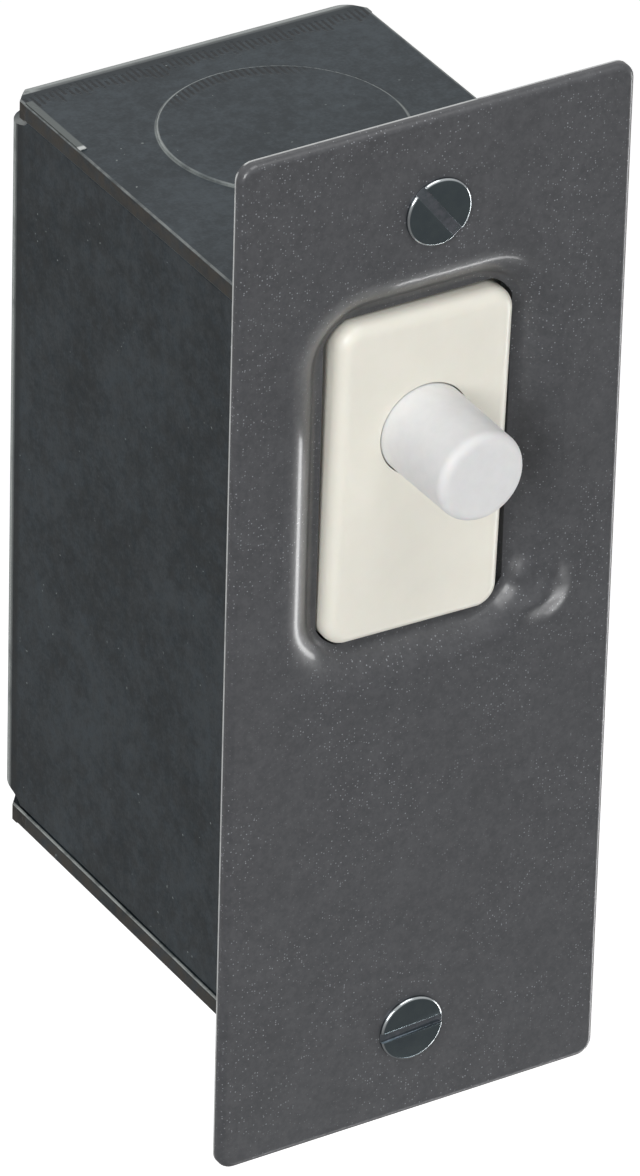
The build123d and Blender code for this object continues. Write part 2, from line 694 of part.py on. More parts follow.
# ================================================================ contacts, terminals and their screws
def contact_rivet(turn, seat, far_side):
    """Silver rivet whose head reaches from its seat to the contact plane, tail on the far side."""
    with BuildPart() as rivet:
        with BuildSketch(in_switch(contact_plane, turn)):
            with Locations((0, CONTACT_OFFSET)):
                Circle(CONTACT_RADIUS)
        extrude(amount=contact_plane - seat)
        with BuildSketch(in_switch(seat, turn)):
            with Locations((0, CONTACT_OFFSET)):
                Circle(CONTACT_SHANK_RADIUS)
        extrude(amount=seat - far_side)
        with BuildSketch(in_switch(far_side, turn)):
            with Locations((0, CONTACT_OFFSET)):
                Circle(CONTACT_TAIL_RADIUS)
        extrude(amount=math.copysign(CONTACT_TAIL_HEIGHT, seat - far_side))
    return rivet.part


for name, turn in (("upper", 1), ("lower", -1)):
    save(contact_rivet(turn, bridge_front, bridge_back), f"{name}_bridge_contact")
    save(contact_rivet(turn, terminal_back, terminal_front), f"{name}_fixed_contact")

pad_start = terminal_front + TERMINAL_PAD_SETBACK
pad_middle = pad_start + TERMINAL_PAD_LENGTH / 2
body_side = BODY_WIDTH / 2
for name, turn in (("left", 1), ("right", -1)):
    with BuildPart() as terminal:
        with BuildSketch(switch_plan(CONTACT_OFFSET, turn)):
            sheet_section(
                [
                    (-body_side - TERMINAL_THICKNESS, pad_middle),
                    (-body_side - TERMINAL_THICKNESS, terminal_front),
                    (TERMINAL_WIDTH / 2, terminal_front),
                ],
                [TERMINAL_BEND_INSIDE + TERMINAL_THICKNESS],
                TERMINAL_THICKNESS,
            )
        extrude(amount=TERMINAL_WIDTH / 2, both=True)
        with BuildSketch(switch_side(body_side, turn)):
            with Locations((CONTACT_OFFSET, pad_middle)):
                RectangleRounded(TERMINAL_PAD_WIDTH, TERMINAL_PAD_LENGTH, TERMINAL_PAD_CORNER)
        extrude(amount=TERMINAL_THICKNESS)
        with BuildSketch(switch_side(body_side, turn)):
            with Locations((CONTACT_OFFSET, pad_middle)):
                Circle(thread_hole)
        extrude(amount=TERMINAL_THICKNESS, mode=Mode.SUBTRACT)
        with BuildSketch(in_switch(terminal_front, turn)):
            with Locations((0, CONTACT_OFFSET)):
                Circle(CONTACT_SHANK_RADIUS + CONTACT_CLEARANCE)
        extrude(amount=-TERMINAL_THICKNESS, mode=Mode.SUBTRACT)
    save(terminal.part, f"{name}_terminal")
    screw = slotted_screw(
        facing_out_at(switch_side(body_side + TERMINAL_THICKNESS, turn), CONTACT_OFFSET, pad_middle),
        BINDING_HEAD_RADIUS,
        BINDING_HEAD_HEIGHT,
        BINDING_SLOT_WIDTH,
        BINDING_SLOT_DEPTH,
        BINDING_SLOT_ANGLE,
        SCREW_RADIUS,
        BINDING_SHANK,
    )
    save(screw, f"{name}_terminal_screw")


# ================================================================ return spring
coil_inset = SPRING_WIRE_RADIUS + SPRING_CLEARANCE
coil_height = spring_length - 2 * coil_inset
with BuildPart() as return_spring:
    with BuildLine() as coil:
        Helix(
            pitch=coil_height / SPRING_TURNS,
            height=coil_height,
            radius=SPRING_RADIUS,
            center=(SWITCH_OFFSET, bridge_back + coil_inset, button_z),
            direction=(0, 1, 0),
        )
    with BuildSketch(Plane(coil.line @ 0, z_dir=coil.line % 0)):
        RegularPolygon(SPRING_WIRE_RADIUS, SPRING_WIRE_SIDES)
    sweep(is_frenet=True)
save(return_spring.part, "return_spring")
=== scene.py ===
import math

import bmesh
import bpy
from mathutils import Matrix, Vector


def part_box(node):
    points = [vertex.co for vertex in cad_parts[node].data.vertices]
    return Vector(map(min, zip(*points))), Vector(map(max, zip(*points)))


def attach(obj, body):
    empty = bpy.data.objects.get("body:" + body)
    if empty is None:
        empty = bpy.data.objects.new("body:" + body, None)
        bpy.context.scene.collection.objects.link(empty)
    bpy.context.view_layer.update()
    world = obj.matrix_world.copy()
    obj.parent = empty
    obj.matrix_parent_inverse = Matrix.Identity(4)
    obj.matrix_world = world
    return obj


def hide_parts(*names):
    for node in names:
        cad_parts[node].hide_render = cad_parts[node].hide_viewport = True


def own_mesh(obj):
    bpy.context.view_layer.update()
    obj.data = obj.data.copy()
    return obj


# Door-jamb light switch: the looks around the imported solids.
# Metres, in the part's own frame: X to the right, Y into the jamb, Z up.

MM = 0.001

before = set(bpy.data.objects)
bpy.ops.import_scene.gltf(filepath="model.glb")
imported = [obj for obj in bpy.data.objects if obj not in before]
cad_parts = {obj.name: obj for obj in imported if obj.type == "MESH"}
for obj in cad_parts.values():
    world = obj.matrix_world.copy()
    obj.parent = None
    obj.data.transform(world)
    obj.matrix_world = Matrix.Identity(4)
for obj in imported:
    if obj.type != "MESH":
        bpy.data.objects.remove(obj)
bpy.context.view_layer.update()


# ================================================================ sizes taken from the solids
def corners(node):
    low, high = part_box(node)
    return Vector(low), Vector(high)


plate_low, plate_high = corners("cover_plate")
box_low, box_high = corners("box")
button_high = corners("button")[1]
spring_low, spring_high = corners("return_spring")
screw_top = corners("top_cover_screw")[0].y

PLATE_SHEET = 1.2 * MM
EAR_RISE = 9.8 * MM  # of the screw ear above the top wall
BEND_OUTSIDE = 2.8 * MM  # radius of the bends at the back of the box
BURR_FROM_BACK = 13.7 * MM  # front end of the raised strip on the top wall's left edge
WALL_OVERHANG = 0.32 * MM  # of the top and bottom walls past the side walls
KNOCKOUT_RADIUS = 11.1 * MM
KNOCKOUT_Y = 23.9 * MM
# Painted highlight round the back of the plate's edges, this wide.
RIM_HIGHLIGHT_WIDTH = 0.30 * MM  # bright line round the plate
GRIT_MM = 0.25
SCORE_MM = 0.6  # from one press score to the next
WAVE_LENGTH = 0.314  # of the wave pattern at a scale of 1

plate_back = plate_low.y + PLATE_SHEET
box_top = box_high.z - EAR_RISE
bend_start = box_high.y - BEND_OUTSIDE
burr_front = box_high.y - BURR_FROM_BACK
wall_side = box_high.x - WALL_OVERHANG
uneven_corner = (button_high.x + 6.2 * MM, plate_low.y, 0.6 * MM)


# ================================================================ helpers
def colour(hex_code):
    """sRGB hex to the linear RGBA that a shader socket takes."""
    rgb = [int(hex_code[i : i + 2], 16) / 255 for i in (1, 3, 5)]
    linear = [c / 12.92 if c <= 0.04045 else ((c + 0.055) / 1.055) ** 2.4 for c in rgb]
    return (*linear, 1.0)


def put(owner, kind, inputs, **settings):
    """Adds a node with its settings. Each input is a value, or the node or output that feeds it."""
    tree = owner.node_tree
    node = tree.nodes.new(kind)
    for name, value in settings.items():
        setattr(node, name, value)
    for socket, source in inputs.items():
        if isinstance(source, bpy.types.Node):
            source = next(output for output in source.outputs if output.enabled)
        if isinstance(source, bpy.types.NodeSocket):
            tree.links.new(source, node.inputs[socket])
        else:
            node.inputs[socket].default_value = source
    return node


def new_material(name):
    """An empty node material, and where a point lies on the part in metres."""
    material = bpy.data.materials.new(name)
    material.use_nodes = True
    material.node_tree.nodes.clear()
    place = put(material, "ShaderNodeTexCoord", {}).outputs["Object"]
    return material, place


def finished(material, shader_inputs):
    """The material with one principled shader on its output."""
    shader = put(material, "ShaderNodeBsdfPrincipled", shader_inputs)
    put(material, "ShaderNodeOutputMaterial", {"Surface": shader})
    return material


def per_metre(size_mm):
    """Scale of a pattern whose grain is size_mm across."""
    return 1 / (size_mm * MM)


def distance_along(material, coordinate, level):
    """How far a coordinate is from a level, on either side."""
    apart = put(material, "ShaderNodeMath", {0: coordinate, 1: level}, operation="SUBTRACT")
    return put(material, "ShaderNodeMath", {0: apart}, operation="ABSOLUTE")


def mottling(material, place, *layers):
    """Random clouds, each given by its size in mm, its detail and, if not 0.6, its roughness. The
    clouds of one layer are dimmed by those of the next."""
    result = None
    for size_mm, detail, *rough in layers:
        cloud = put(
            material,
            "ShaderNodeTexNoise",
            {
                "Vector": place,
                "Scale": per_metre(size_mm),
                "Detail": detail,
                "Roughness": rough[0] if rough else 0.6,
            },
        )
        if result:
            cloud = put(material, "ShaderNodeMath", {0: result, 1: cloud}, operation="MULTIPLY")
        result = cloud
    return result


def where(material, *masks):
    """Product of masks. Each is a node, or a value with the start and end of its soft step, and
    with its level before and after the step when they are not 0 and 1."""
    result = None
    for mask in masks:
        if isinstance(mask, tuple):
            value, begin, end, low, high = mask if len(mask) == 5 else (*mask, 0.0, 1.0)
            mask = put(
                material,
                "ShaderNodeMapRange",
                {"Value": value, "From Min": begin, "From Max": end, "To Min": low, "To Max": high},
                interpolation_type="SMOOTHSTEP",
            )
        if result:
            mask = put(material, "ShaderNodeMath", {0: result, 1: mask}, operation="MULTIPLY")
        result = mask
    return result


def laid_on(material, ground, tone, *masks):
    """A ground, given as a colour or a node, with a tone laid on it where all the masks are."""
    return put(
        material,
        "ShaderNodeMix",
        {
            "Factor": where(material, *masks),
            "A": colour(ground) if isinstance(ground, str) else ground,
            "B": colour(tone),
        },
        data_type="RGBA",
    )


# ================================================================ materials
def baked_enamel():
    """Baked enamel on pressed steel: a smooth half-gloss grey, dusty with fine pale grit, with a
    painted highlight along the back of its edges."""
    material, place = new_material("baked_enamel")
    spot = put(material, "ShaderNodeSeparateXYZ", {"Vector": place}).outputs
    fine = mottling(material, place, (0.35, 2.0), (1.1, 3.0))
    coarse = mottling(material, place, (3.0, 6.0, 0.7))
    grain = put(material, "ShaderNodeMath", {0: coarse, 1: 0.5, 2: fine}, operation="MULTIPLY_ADD")
    paint = laid_on(material, "#3F4043", "#4C4D50", (grain, 0.3, 0.7))
    # Grit coarse enough to show: a speck in about half of the cells, thick in some patches.
    cells = put(material, "ShaderNodeTexVoronoi", {"Vector": place, "Scale": per_metre(GRIT_MM)})
    chance = put(material, "ShaderNodeSeparateColor", {"Color": cells.outputs["Color"]})
    grit = where(
        material,
        (cells.outputs["Distance"], 0.34, 0.10),
        (chance.outputs["Red"], 0.55, 1.0),
        (mottling(material, place, (11.0, 2.0)), 0.36, 0.64, 0.3, 1.7),
    )
    paint = laid_on(material, paint, "#8D8F94", grit)
    # Painted highlight: a patchy bright line round the back of the plate's edges.
    sideways, endways = (
        where(
            material,
            (distance_along(material, spot[axis], 0.0), reach - RIM_HIGHLIGHT_WIDTH, reach - RIM_HIGHLIGHT_WIDTH / 3),
        )
        for axis, reach in (("X", plate_high.x), ("Z", plate_high.z))
    )
    rim_highlight = put(material, "ShaderNodeMath", {0: sideways, 1: endways}, operation="MAXIMUM")
    paint = laid_on(
        material,
        paint,
        "#C4C6C5",
        rim_highlight,
        (spot["Y"], plate_back - 0.34 * MM, plate_back - 0.18 * MM),
        (mottling(material, place, (2.5, 4.0)), 0.2, 0.5, 0.4, 1.0),
    )
    skin = put(
        material,
        "ShaderNodeMath",
        {0: grit, 1: mottling(material, place, (0.7, 3.0))},
        operation="ADD",
    )
    relief = put(
        material, "ShaderNodeBump", {"Height": skin, "Strength": 0.12, "Distance": 0.05 * MM}
    )
    # Where the punch left the sheet slightly uneven, at one corner of the recess.
    from_corner = put(
        material, "ShaderNodeVectorMath", {0: place, 1: uneven_corner}, operation="DISTANCE"
    )
    uneven = where(
        material, mottling(material, place, (2.2, 0.0)), (from_corner, 4.0 * MM, 1.5 * MM)
    )
    surface = put(
        material,
        "ShaderNodeBump",
        {"Height": uneven, "Normal": relief, "Strength": 1.0, "Distance": 0.8 * MM},
    )
    return finished(
        material,
        {
            "Base Color": paint,
            "Normal": surface,
            "Roughness": 0.36,
            "IOR": 1.5,
            "Coat Weight": 0.4,
            "Coat Roughness": 0.12,
        },
    )


def phosphated_steel():
    """Oiled, phosphated sheet: nearly black blue-grey, mottled and finely scored where the press
    stretched it, with painted highlights on its bends, ledges and knockout edge, painted shade where
    the bends start, and its cut edges brown."""
    material, place = new_material("phosphated_steel")
    coordinates = put(material, "ShaderNodeTexCoord", {}).outputs
    spot = put(material, "ShaderNodeSeparateXYZ", {"Vector": place}).outputs
    turned = put(material, "ShaderNodeSeparateXYZ", {"Vector": coordinates["Normal"]}).outputs
    broad = mottling(material, place, (4.0, 8.0, 0.75), (16.0, 2.0))
    fine = mottling(material, place, (0.3, 3.0), (1.1, 2.0))
    mottle = put(material, "ShaderNodeMath", {0: broad, 1: fine}, operation="ADD")
    steel = laid_on(material, "#151D21", "#323A3F", (mottle, 0.3, 0.72))

    # Short scores in front of the bend to the back, and in the rear of the knockout.
    strokes = put(
        material,
        "ShaderNodeTexWave",
        {
            "Vector": place,
            "Scale": WAVE_LENGTH * per_metre(SCORE_MM),
            "Distortion": 1.5,
            "Detail": 3.0,
            "Detail Scale": 40.0,
        },
        bands_direction="X",
    ).outputs["Fac"]
    ragged = put(
        material,
        "ShaderNodeMath",
        {0: mottling(material, place, (1.5, 3.0), (1.5, 3.0)), 1: 4.0 * MM, 2: spot["Y"]},
        operation="MULTIPLY_ADD",
    )
    from_score_line = distance_along(material, ragged, bend_start - 0.5 * MM)
    by_the_bend = where(material, (from_score_line, 1.1 * MM, 0.55 * MM))
    from_knockout = put(
        material,
        "ShaderNodeVectorMath",
        {0: place, 1: (0.0, KNOCKOUT_Y, box_top)},
        operation="DISTANCE",
    )
    in_knockout = where(
        material,
        (
            distance_along(material, from_knockout, KNOCKOUT_RADIUS - 0.9 * MM),
            0.9 * MM,
            0.45 * MM,
        ),
        (spot["Y"], KNOCKOUT_Y + 7.0 * MM, KNOCKOUT_Y + 9.0 * MM),
    )
    scored = put(material, "ShaderNodeMath", {0: by_the_bend, 1: in_knockout}, operation="ADD")
    score = where(material, (strokes, 0.35, 0.6), scored)
    steel = laid_on(material, steel, "#060809", score)
    # Painted shade: a dark band round the box where its walls start to bend to the back.
    from_bend = distance_along(material, spot["Y"], bend_start)
    steel = laid_on(material, steel, "#14191B", (from_bend, 1.2 * MM, 0.6 * MM, 0.0, 0.7))
    # Painted highlight along the edge of the raised knockout, patchy.
    steel = laid_on(
        material,
        steel,
        "#8B908E",
        (distance_along(material, from_knockout, KNOCKOUT_RADIUS), 0.22 * MM, 0.11 * MM),
        (mottling(material, place, (5.0, 4.0)), 0.3, 0.6, 0.1, 0.8),
    )

    # The top and bottom walls' overhang: a painted highlight on the ledge, stronger on the bottom
    # wall, and a brown sheared side.
    overhang = (distance_along(material, spot["X"], 0.0), wall_side, wall_side + 0.06 * MM)
    sheared = where(material, (distance_along(material, turned["X"], 0.0), 0.6, 0.9))
    steel = laid_on(
        material,
        steel,
        "#A5A9A6",
        overhang,
        (sheared, 1.0, 0.0),
        (spot["Z"], -1.0 * MM, 1.0 * MM, 1.0, 0.45),
        (mottling(material, place, (2.0, 5.0)), 0.3, 0.6, 0.3, 1.0),
    )
    steel = laid_on(
        material,
        steel,
        "#37322B",
        overhang,
        sheared,
        (mottling(material, place, (1.2, 5.0)), 0.2, 0.7),
    )
    burr = where(
        material,
        (spot["Z"], box_top + 0.03 * MM, box_top + 0.10 * MM),
        (spot["X"], box_low.x + 0.95 * MM, box_low.x + 0.75 * MM),
    )
    from_burr_end = distance_along(material, spot["Y"], burr_front)
    steel = laid_on(material, steel, "#5F6462", burr)
    # Painted highlight at the front end of the raised strip.
    steel = laid_on(material, steel, "#C9CCCA", burr, (from_burr_end, 0.6 * MM, 0.3 * MM))

    # Painted highlight on the bends where they turn to the back, a lighter patch at one back corner,
    # and small nicks all over.
    bend_highlight = where(
        material,
        (turned["Y"], 0.03, 0.22),
        (turned["Y"], 0.75, 0.40),
        (mottling(material, place, (3.0, 4.0)), 0.2, 0.5, 0.45, 1.0),
    )
    from_corner = put(
        material,
        "ShaderNodeVectorMath",
        {0: place, 1: (box_low.x, bend_start, box_top)},
        operation="DISTANCE",
    )
    corner = where(
        material,
        (from_corner, 3.6 * MM, 1.6 * MM),
        (mottling(material, place, (1.0, 4.0)), 0.35, 0.55),
        (turned["Y"], 0.02, 0.12),
    )
    bend_highlight_and_corner = put(material, "ShaderNodeMath", {0: bend_highlight, 1: corner}, operation="MAXIMUM")
    steel = laid_on(material, steel, "#A3A8A6", bend_highlight_and_corner)
    steel = laid_on(
        material,
        steel,
        "#7C8281",
        (mottling(material, place, (0.5, 1.0)), 0.74, 0.78),
        (mottling(material, place, (6.0, 1.0)), 0.55, 0.60),
    )
    height = put(
        material, "ShaderNodeMath", {0: score, 1: -2.0, 2: mottle}, operation="MULTIPLY_ADD"
    )
    relief = put(
        material, "ShaderNodeBump", {"Height": height, "Strength": 0.25, "Distance": 0.06 * MM}
    )
    return finished(
        material,
        {
            "Base Color": steel,
            "Normal": relief,
            "Roughness": 0.38,
            "IOR": 1.5,
            "Specular Tint": colour("#E2EDF6"),
        },
    )


def blackened_steel():
    """Black-oxide screw steel: a dark mirror, lighter in the slot and on the head's side, with bright
    metal painted as a highlight round the head's rim and along the slot's edges.
    """
    material, place = new_material("blackened_steel")
    coordinates = put(material, "ShaderNodeTexCoord", {}).outputs
    spot = put(material, "ShaderNodeSeparateXYZ", {"Vector": place}).outputs
    turned = put(material, "ShaderNodeSeparateXYZ", {"Vector": coordinates["Normal"]}).outputs
    smear = mottling(material, place, (1.2, 5.0, 0.7))
    oxide = put(
        material,
        "ShaderNodeMix",
        {"Factor": smear, "A": colour("#5E6870"), "B": colour("#768182")},
        data_type="RGBA",
    )
    oxide = laid_on(
        material,
        oxide,
        "#8A8D95",
        (spot["Y"], screw_top + 0.20 * MM, screw_top + 0.26 * MM),
        (mottling(material, place, (0.5, 4.0)), 0.3, 0.7, 0.3, 1.0),
    )
    # Painted highlight: bright metal on the head's rounded rim and on the slot's bevelled edges.
    forward = distance_along(material, turned["Y"], 0.0)
    metal = laid_on(material, oxide, "#B9BEC0", (forward, 0.985, 0.90), (forward, 0.2, 0.4))
    relief = put(
        material, "ShaderNodeBump", {"Height": smear, "Strength": 0.12, "Distance": 0.04 * MM}
    )
    return finished(
        material, {"Base Color": metal, "Normal": relief, "Metallic": 1.0, "Roughness": 0.16}
    )


def plain_finish(name, dark, light, grain_mm, relief_mm, shader_inputs):
    """A finish of one substance: two near tones in soft clouds, and a relief of the same grain."""
    material, place = new_material(name)
    cloud = mottling(material, place, (grain_mm, 4.0, 0.55))
    tone = put(
        material,
        "ShaderNodeMix",
        {"Factor": cloud, "A": colour(dark), "B": colour(light)},
        data_type="RGBA",
    )
    relief = put(
        material, "ShaderNodeBump", {"Height": cloud, "Strength": 0.2, "Distance": relief_mm * MM}
    )
    return finished(material, {"Base Color": tone, "Normal": relief, **shader_inputs})


enamel = baked_enamel()
box_steel = phosphated_steel()
screw_steel = blackened_steel()
# Compression-moulded urea: creamy, dense and waxy, with a soft wide highlight.
ivory_urea = plain_finish(
    "ivory_urea",
    "#E4E1D5",
    "#ECE9DE",
    3.0,
    0.01,
    {"Roughness": 0.38, "IOR": 1.55, "Subsurface Weight": 0.06, "Subsurface Scale": 1.5 * MM},
)
# Injection-moulded nylon: cool white and matte, its shaded side lifted by light inside it.
white_nylon = plain_finish(
    "white_nylon",
    "#D5D5D5",
    "#E0E0E0",
    1.2,
    0.02,
    {"Roughness": 0.55, "IOR": 1.53, "Subsurface Weight": 0.10, "Subsurface Scale": 1.5 * MM},
)
# Zinc plate on stamped steel: pale, bluish and dull, faintly crystalline.
zinc_plate = plain_finish(
    "zinc_plate", "#9DA3A6", "#C2C6C6", 0.9, 0.03, {"Metallic": 1.0, "Roughness": 0.34}
)
# Black phenolic moulding: brownish black, smooth where the mould was polished.
phenolic = plain_finish("phenolic", "#221E1C", "#302B28", 0.8, 0.02, {"Roughness": 0.42, "IOR": 1.6})
# Rolled brass strip: warm yellow with a light film of tarnish.
rolled_brass = plain_finish(
    "rolled_brass", "#B08D45", "#D1B061", 2.0, 0.02, {"Metallic": 1.0, "Roughness": 0.27}
)
# Fine silver contacts: white metal, burnished on the faces that meet.
contact_silver = plain_finish(
    "contact_silver", "#CFCDC6", "#EAE8E2", 0.6, 0.02, {"Metallic": 1.0, "Roughness": 0.22}
)
# Drawn music wire: dark bright steel with a thin oil.
music_wire = plain_finish(
    "music_wire", "#7C7F82", "#A4A7A8", 0.4, 0.01, {"Metallic": 1.0, "Roughness": 0.25}
)

finishes = {
    "cover_plate": enamel,
    "box": box_steel,
    "top_cover_screw": screw_steel,
    "bottom_cover_screw": screw_steel,
    "switch_body": ivory_urea,
    "button": white_nylon,
    "mounting_strap": zinc_plate,
    "switch_base": phenolic,
    "left_base_screw": zinc_plate,
    "right_base_screw": zinc_plate,
    "contact_bridge": rolled_brass,
    "left_terminal": rolled_brass,
    "right_terminal": rolled_brass,
    "upper_bridge_contact": contact_silver,
    "lower_bridge_contact": contact_silver,
    "upper_fixed_contact": contact_silver,
    "lower_fixed_contact": contact_silver,
    "left_terminal_screw": zinc_plate,
    "right_terminal_screw": zinc_plate,
    "return_spring": music_wire,
}
for name, material in finishes.items():
    for material_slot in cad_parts[name].material_slots:
        material_slot.material = material


# ================================================================ pieces made here
def smooth(mesh, sharpest=30):
    """Smooth shading everywhere but on edges that turn more than sharpest degrees."""
    mesh.shade_smooth()
    mesh.set_sharp_from_angle(angle=math.radians(sharpest))


def skin_of(rings):
    """Mesh through rings of points, one after the other; its two ends are capped."""
    net = bmesh.new()
    loops = [[net.verts.new(point) for point in ring] for ring in rings]
    count = len(rings[0])
    for first, second in zip(loops, loops[1:]):
        for i in range(count):
            j = (i + 1) % count
            net.faces.new((first[i], first[j], second[j], second[i]))
    net.faces.new(list(reversed(loops[0])))
    net.faces.new(loops[-1])
    bmesh.ops.recalc_face_normals(net, faces=net.faces)
    return net


def piece(name, net, material, sharpest=30):
    """Object of a finished net, on the housing."""
    mesh = bpy.data.meshes.new(name)
    net.to_mesh(mesh)
    net.free()
    smooth(mesh, sharpest)
    mesh.materials.append(material)
    made = bpy.data.objects.new(name, mesh)
    bpy.context.scene.collection.objects.link(made)
    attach(made, "housing")
    return made


# ---------------------------------------------------------------- return spring, closed at both ends
COIL_TURNS = 7.0
CLOSED_TURNS = 1.0
WIRE_RADIUS = 0.27 * MM
CLOSED_PITCH = 2.04 * WIRE_RADIUS  # closed turns all but touch
STEPS_A_TURN = 36
WIRE_SIDES = 12


def coil_height(turn, height):
    """How far up a coil of this height the wire's middle is after a number of turns."""
    closed = CLOSED_PITCH * CLOSED_TURNS
    open_turns = COIL_TURNS - 2 * CLOSED_TURNS
    if turn <= CLOSED_TURNS:
        return closed * turn / CLOSED_TURNS
    if turn >= COIL_TURNS - CLOSED_TURNS:
        return height - closed * (COIL_TURNS - turn) / CLOSED_TURNS
    return closed + (height - 2 * closed) * (turn - CLOSED_TURNS) / open_turns


spring_middle = (spring_low + spring_high) / 2
spring_length = spring_high.y - spring_low.y
coil_radius = (spring_high.x - spring_low.x) / 2 - WIRE_RADIUS
wire_rings = []
for step in range(int(COIL_TURNS * STEPS_A_TURN) + 1):
    turn = step / STEPS_A_TURN
    angle = 2 * math.pi * turn
    outward = Vector((math.cos(angle), 0, math.sin(angle)))
    along = Vector((0, 1, 0))
    height = coil_height(turn, spring_length - 2 * WIRE_RADIUS)
    middle = Vector((spring_middle.x, spring_low.y + WIRE_RADIUS + height, spring_middle.z))
    ring = []
    for side in range(WIRE_SIDES):
        round_wire = 2 * math.pi * side / WIRE_SIDES
        offset = outward * math.cos(round_wire) + along * math.sin(round_wire)
        ring.append(middle + outward * coil_radius + offset * WIRE_RADIUS)
    wire_rings.append(ring)
coil = piece("spring_coil", skin_of(wire_rings), music_wire, sharpest=50)
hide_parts("return_spring")
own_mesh(coil)


# ---------------------------------------------------------------- cover screws with their threads
THREAD_PITCH = 25.4 / 32 * MM
THREAD_DEPTH = 0.42 * MM
FLANK_STEEPNESS = 1.25  # over 1, which leaves a flat at the root
POINT_LENGTH = 2 * THREAD_DEPTH
POINT_TAPER = 1.1  # in thread depths
HEAD_ROUND = 0.26 * MM
HEAD_ROUND_STEPS = 6
SLOT_WIDTH = 1.0 * MM
SLOT_DEPTH = 0.28 * MM
EDGE_BEVEL = 0.11 * MM
SLOT_ANGLES = {"top_cover_screw": -52.0, "bottom_cover_screw": 3.0}
ROUND_SIDES = 72
PROFILE_ROWS = 5  # of points to one pitch of thread
SHANK_RADIUS = 1.75 * MM


def ring_at(centre, y, radius):
    """Circle of points round a screw's axis at a depth."""
    middle = Vector((centre.x, y, centre.z))
    points = []
    for i in range(ROUND_SIDES):
        angle = 2 * math.pi * i / ROUND_SIDES
        points.append(middle + radius * Vector((math.cos(angle), 0, math.sin(angle))))
    return points


def slotted_head(centre, top, seat, radius, slot_angle):
    """Low round head with a slot sawn across it."""
    profile = [(seat, radius)]
    for i in range(HEAD_ROUND_STEPS + 1):
        turn = math.pi / 2 * i / HEAD_ROUND_STEPS
        profile.append(
            (
                top + HEAD_ROUND * (1 - math.sin(turn)),
                radius - HEAD_ROUND * (1 - math.cos(turn)),
            )
        )
    head = bpy.data.objects.new("head", bpy.data.meshes.new("head"))
    net = skin_of([ring_at(centre, y, r) for y, r in profile])
    net.to_mesh(head.data)
    net.free()
    saw = bpy.data.objects.new("saw", bpy.data.meshes.new("saw"))
    block = bmesh.new()
    bmesh.ops.create_cube(block, size=1.0)
    size = Matrix.Diagonal((3 * radius, 2 * SLOT_DEPTH, SLOT_WIDTH, 1.0))
    turned = Matrix.Rotation(-math.radians(slot_angle), 4, "Y")
    block.transform(Matrix.Translation((centre.x, top, centre.z)) @ turned @ size)
    block.to_mesh(saw.data)
    block.free()
    for tool in (head, saw):
        bpy.context.scene.collection.objects.link(tool)
    cut = head.modifiers.new("slot", "BOOLEAN")
    cut.operation = "DIFFERENCE"
    cut.object = saw
    # The slot's edges are bevelled, and the painted highlight lies on them.
    edge_bevel = head.modifiers.new("rubbed edge", "BEVEL")
    edge_bevel.limit_method = "ANGLE"
    edge_bevel.angle_limit = math.radians(50)
    edge_bevel.width = EDGE_BEVEL
    edge_bevel.segments = 2
    result = bmesh.new()
    result.from_object(head, bpy.context.evaluated_depsgraph_get())
    for tool in (head, saw):
        bpy.data.objects.remove(tool)
    return result


def threaded_shank(centre, start, end, radius):
    """Rows of points of a V thread, from a head's seat to a blunt point."""
    pitches = int((end - start) / THREAD_PITCH) + 2
    rings = []
    for row in range(PROFILE_ROWS * pitches + 1):
        ring = []
        for i in range(ROUND_SIDES):
            share = i / ROUND_SIDES
            y = start + (row / PROFILE_ROWS + share - 1) * THREAD_PITCH
            phase = abs((row % PROFILE_ROWS) / PROFILE_ROWS - 0.5) * 2
            depth = THREAD_DEPTH * min(1.0, FLANK_STEEPNESS * phase)
            point = max(0.0, y - (end - POINT_LENGTH)) / POINT_LENGTH
            r = min(radius - depth, radius - THREAD_DEPTH * min(1.0, point) * POINT_TAPER)
            angle = 2 * math.pi * share
            y = min(max(y, start), end)
            ring.append(Vector((centre.x + r * math.cos(angle), y, centre.z + r * math.sin(angle))))
        rings.append(ring)
    return rings


def helical_skin(rings):
    """Mesh through the rows of a thread: each turn ends one pitch further on. It has no end caps."""
    net = bmesh.new()
    loops = [[net.verts.new(point) for point in ring] for ring in rings]
    for number, (first, second) in enumerate(zip(loops, loops[1:])):
        for i in range(ROUND_SIDES - 1):
            net.faces.new((first[i], first[i + 1], second[i + 1], second[i]))
        if number + PROFILE_ROWS + 1 < len(loops):
            on, after = loops[number + PROFILE_ROWS], loops[number + PROFILE_ROWS + 1]
            net.faces.new((first[-1], on[0], after[0], second[-1]))
    bmesh.ops.remove_doubles(net, verts=net.verts, dist=0.001 * MM)
    bmesh.ops.dissolve_degenerate(net, edges=net.edges, dist=0.001 * MM)
    bmesh.ops.recalc_face_normals(net, faces=net.faces)
    return net


for node, slot_angle in SLOT_ANGLES.items():
    low, high = corners(node)
    centre = (low + high) / 2
    head_net = slotted_head(centre, low.y, plate_low.y, (high.x - low.x) / 2, slot_angle)
    head_mesh = bpy.data.meshes.new("head")
    head_net.to_mesh(head_mesh)
    head_net.free()
    screw_net = helical_skin(threaded_shank(centre, plate_low.y, high.y, SHANK_RADIUS))
    screw_net.from_mesh(head_mesh)
    bpy.data.meshes.remove(head_mesh)
    screw = piece(node + "_threaded", screw_net, screw_steel)
    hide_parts(node)


# ================================================================ studio
def area_lamp(name, position, size, power, shade="#FFFFFF", height=None):
    """Soft box at a position that faces the middle of the part."""
    data = bpy.data.lights.new(name, "AREA")
    data.shape = "RECTANGLE"
    data.size = size
    data.size_y = height or size
    data.energy = power
    data.color = colour(shade)[:3]
    lamp = bpy.data.objects.new(name, data)
    lamp.location = position
    lamp.rotation_euler = (Vector((0, 0, 0)) - Vector(position)).to_track_quat("-Z", "Y").to_euler()
    bpy.context.scene.collection.objects.link(lamp)
    return lamp


